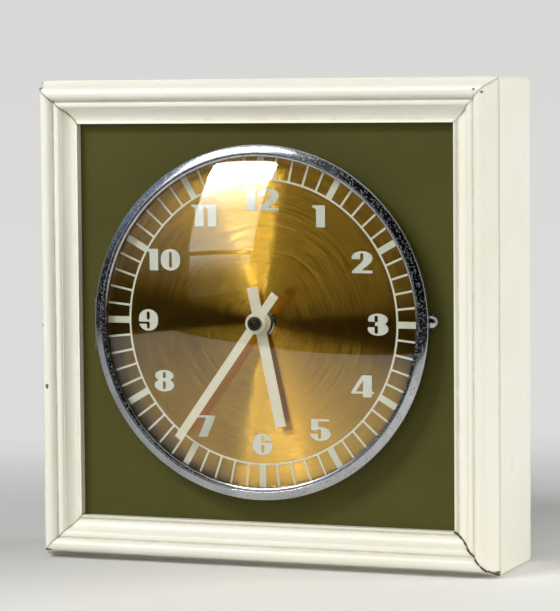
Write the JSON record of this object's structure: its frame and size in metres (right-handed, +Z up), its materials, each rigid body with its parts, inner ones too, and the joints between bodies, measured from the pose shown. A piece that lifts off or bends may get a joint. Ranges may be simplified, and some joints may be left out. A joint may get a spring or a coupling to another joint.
{
  "type": "framed clock",
  "caption": "Square painted wooden clock with a moulded frame, a round hinged domed glass, a numbered brushed dial, bar hands and a battery balance movement.",
  "frame": {"origin": "middle of the lower face of the wooden case, midway between the boards' front and back edges", "axes": "+Z up, -Y towards the viewer of the dial, +X to the viewer's right"},
  "size_m": [0.3, 0.101, 0.3],
  "materials": {
    "case_paint": "ivory gloss paint",
    "moulding_bottom_paint": "ivory gloss paint",
    "moulding_right_paint": "ivory gloss paint",
    "moulding_top_paint": "ivory gloss paint",
    "moulding_left_paint": "ivory gloss paint",
    "panel_paint": "matt olive paint",
    "raw_wood": "unpainted",
    "plain_steel": "zinc plated",
    "pan_steel": "satin lacquer",
    "movement_brass": "satin",
    "dial_gold": "circular brushed, gold lacquer",
    "track_print": "matt print",
    "numeral_print": "matt print",
    "nut_chrome": "polished",
    "bezel_chrome": "polished, worn",
    "dome_glass": "clear",
    "retainer_dark": "satin",
    "tab_chrome": "polished",
    "hinge_steel": "dull plated",
    "hand_enamel": "satin cream enamel",
    "hand_nut_dark": "blued",
    "housing_plastic": "satin",
    "cover_plastic": "satin",
    "balance_steel": "satin",
    "magnet_dark": "dark",
    "spring_blue": "blued",
    "coil_copper": "enamelled copper wire",
    "board_laminate": "satin",
    "knob_plastic": "gloss",
    "cell_jacket": "plain printed jacket, no marks"
  },
  "bodies": {
    "case": {"case_board_bottom": "case_paint", "case_board_right": "case_paint", "case_board_top": "case_paint", "case_board_left": "case_paint", "moulding_bottom": "moulding_bottom_paint", "moulding_right": "moulding_right_paint", "moulding_top": "moulding_top_paint", "moulding_left": "moulding_left_paint", "colour_panel": "panel_paint", "panel_battens": "raw_wood", "batten_pins": "plain_steel", "corner_blocks": "raw_wood", "hanger_plate": "plain_steel", "hanger_screws": "plain_steel", "dial_pan": "pan_steel", "pan_screws": "plain_steel", "pan_nuts": "plain_steel", "dial_spacer": "movement_brass", "dial_plate": "dial_gold", "minute_track": "track_print", "numerals": "numeral_print", "dial_nut": "nut_chrome", "bezel_catch": "plain_steel", "hinge_leaf_fixed": "hinge_steel", "hinge_pin": "hinge_steel", "hinge_screws": "plain_steel", "movement_housing": "housing_plastic", "movement_cover": "cover_plastic", "cover_screws": "plain_steel", "centre_bush": "movement_brass", "train_bridge": "movement_brass", "bridge_pillars": "movement_brass", "bridge_screws": "plain_steel", "balance_cock": "movement_brass", "drive_coil": "coil_copper", "circuit_board": "board_laminate", "board_parts": "balance_steel", "battery_holder": "housing_plastic", "battery_cell": "cell_jacket", "contact_spring": "plain_steel", "contact_plate": "plain_steel"},
    "bezel": {"bezel_ring": "bezel_chrome", "dome_glass": "dome_glass", "glass_retainer": "retainer_dark", "thumb_tab": "tab_chrome", "hinge_leaf_bezel": "hinge_steel"},
    "minute": {"minute_arbor": "movement_brass", "centre_wheel": "movement_brass", "minute_hand": "hand_enamel", "hand_nut": "hand_nut_dark"},
    "hour": {"hour_wheel": "movement_brass", "hour_hand": "hand_enamel"},
    "motion_wheel": {"minute_wheel": "movement_brass"},
    "third": {"third_wheel": "movement_brass"},
    "index": {"index_wheel": "movement_brass"},
    "knob": {"set_knob": "knob_plastic"},
    "balance": {"balance_wheel": "balance_steel", "balance_magnets": "magnet_dark", "hairspring": "spring_blue"},
    "regulator": {"regulator_lever": "plain_steel"}
  },
  "joints": [
    {"name": "bezel_swing", "type": "hinge", "parent": "case", "child": "bezel", "pos_m": [-0.1116, -0.0363, 0.148], "axis": [0, 0, -1], "range_deg": [0, 100]},
    {"name": "minute_spin", "type": "hinge", "parent": "case", "child": "minute", "pos_m": [0, -0.0383, 0.1512], "axis": [0, 1, 0], "continuous": true},
    {"name": "hour_spin", "type": "hinge", "parent": "case", "child": "hour", "pos_m": [0, -0.0383, 0.1512], "axis": [0, 1, 0], "continuous": true},
    {"name": "motion_wheel_spin", "type": "hinge", "parent": "case", "child": "motion_wheel", "pos_m": [-0.01039, -0.0456, 0.1572], "axis": [0, 1, 0], "continuous": true},
    {"name": "knob_spin", "type": "hinge", "parent": "case", "child": "knob", "pos_m": [-0.01248, -0.0456, 0.16902], "axis": [0, 1, 0], "continuous": true},
    {"name": "third_spin", "type": "hinge", "parent": "case", "child": "third", "pos_m": [0.01559, -0.0456, 0.1422], "axis": [0, 1, 0], "continuous": true},
    {"name": "index_spin", "type": "hinge", "parent": "case", "child": "index", "pos_m": [0.02239, -0.0456, 0.15398], "axis": [0, 1, 0], "continuous": true},
    {"name": "balance_swing", "type": "hinge", "parent": "case", "child": "balance", "pos_m": [0.0244, -0.0456, 0.163], "axis": [0, 1, 0], "range_deg": [-135, 135], "stiffness_Nm_per_rad": 0.0001},
    {"name": "regulator_turn", "type": "hinge", "parent": "case", "child": "regulator", "pos_m": [0.0244, -0.0456, 0.163], "axis": [0, 1, 0], "range_deg": [-22, 22]}
  ],
  "couplings": [
    {"joint": "hour_spin", "follows": "minute_spin", "ratio": 0.083333},
    {"joint": "motion_wheel_spin", "follows": "minute_spin", "ratio": -0.33333},
    {"joint": "knob_spin", "follows": "minute_spin", "ratio": 1},
    {"joint": "third_spin", "follows": "minute_spin", "ratio": -8},
    {"joint": "index_spin", "follows": "minute_spin", "ratio": 60}
  ]
}
